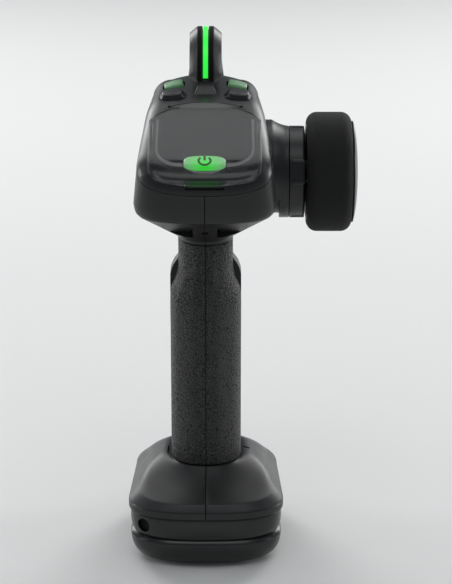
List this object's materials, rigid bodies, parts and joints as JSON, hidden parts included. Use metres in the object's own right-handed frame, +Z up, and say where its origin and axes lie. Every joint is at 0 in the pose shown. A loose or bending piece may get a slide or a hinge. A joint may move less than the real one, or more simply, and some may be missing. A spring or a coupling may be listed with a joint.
{
  "type": "pistol-grip radio transmitter",
  "caption": "Hand-held radio transmitter with a pistol grip, side steering wheel, finger trigger, flip cover over its display, lit buttons and a carry loop on a weighted base.",
  "frame": {"origin": "middle of the foot pad's underside", "axes": "+Z up, -Y towards the user, +X towards the steering wheel"},
  "size_m": [0.1116, 0.11, 0.2542],
  "materials": {
    "hard_black": "fine matte moulding",
    "grip_rubber": "leather grain",
    "foam": "open foam skin",
    "smoked": "smoked translucent",
    "lit_green": "lit translucent",
    "strip_grey": "satin",
    "steel": "turned",
    "board": "circuit board",
    "cell_sleeve": "sleeved cell",
    "display": "dark glass"
  },
  "bodies": {
    "case": {"case_left": "hard_black", "case_right": "hard_black", "top_shell": "hard_black", "base_ring": "hard_black", "base_cap": "hard_black", "battery_holder": "hard_black", "carry_loop": "hard_black", "wheel_mount": "hard_black", "wheel_housing": "hard_black", "power_switch": "hard_black", "lit_switch_left": "hard_black", "lit_switch_right": "hard_black", "oval_switch_left": "hard_black", "oval_switch_right": "hard_black", "grip_panel_left": "grip_rubber", "grip_panel_right": "grip_rubber", "foot_pad": "grip_rubber", "port_plug": "grip_rubber", "loop_light": "lit_green", "status_strip": "strip_grey", "case_screw_low": "steel", "case_screw_high": "steel", "case_screw_nose": "steel", "base_screw_1": "steel", "base_screw_2": "steel", "base_screw_3": "steel", "base_screw_4": "steel", "cover_hinge_pin": "steel", "wheel_bearing_inner": "steel", "wheel_bearing_outer": "steel", "wheel_spring": "steel", "trigger_pin": "steel", "trigger_spring": "steel", "main_board": "board", "button_board": "board", "wheel_sensor": "board", "trigger_sensor": "board", "battery_cell_left": "cell_sleeve", "battery_cell_right": "cell_sleeve", "display_panel": "display"},
    "wheel": {"wheel_tyre": "foam", "wheel_rim": "hard_black", "wheel_cap": "hard_black", "wheel_shaft": "steel", "wheel_magnet": "steel"},
    "trigger": {"trigger": "hard_black"},
    "cover": {"flip_cover": "smoked"},
    "power_button": {"power_button": "lit_green"},
    "lit_button_left": {"lit_button_left": "lit_green"},
    "lit_button_right": {"lit_button_right": "lit_green"},
    "oval_button_left": {"oval_button_left": "hard_black"},
    "oval_button_right": {"oval_button_right": "hard_black"}
  },
  "joints": [
    {"name": "steering", "type": "hinge", "parent": "case", "child": "wheel", "pos_m": [0.0595, 0.01, 0.1885], "axis": [1, 0, 0], "range_deg": [-38, 38], "stiffness_Nm_per_rad": 0.12},
    {"name": "throttle", "type": "hinge", "parent": "case", "child": "trigger", "pos_m": [0, 0.042, 0.179], "axis": [-1, 0, 0], "range_deg": [-12, 16], "stiffness_Nm_per_rad": 0.12},
    {"name": "cover_hinge", "type": "hinge", "parent": "case", "child": "cover", "pos_m": [0, 0.0009, 0.22191], "axis": [-1, 0, 0], "range_deg": [0, 105]},
    {"name": "power_press", "type": "slide", "parent": "case", "child": "power_button", "axis": [0, 0.3818, -0.9243], "range_m": [0, 0.001], "stiffness_N_per_m": 150, "springref_m": -0.002},
    {"name": "lit_press_left", "type": "slide", "parent": "case", "child": "lit_button_left", "axis": [0, 0, -1], "range_m": [0, 0.001], "stiffness_N_per_m": 150, "springref_m": -0.002},
    {"name": "lit_press_right", "type": "slide", "parent": "case", "child": "lit_button_right", "axis": [0, 0, -1], "range_m": [0, 0.001], "stiffness_N_per_m": 150, "springref_m": -0.002},
    {"name": "oval_press_left", "type": "slide", "parent": "case", "child": "oval_button_left", "axis": [0, 0, -1], "range_m": [0, 0.001], "stiffness_N_per_m": 150, "springref_m": -0.002},
    {"name": "oval_press_right", "type": "slide", "parent": "case", "child": "oval_button_right", "axis": [0, 0, -1], "range_m": [0, 0.001], "stiffness_N_per_m": 150, "springref_m": -0.002}
  ]
}
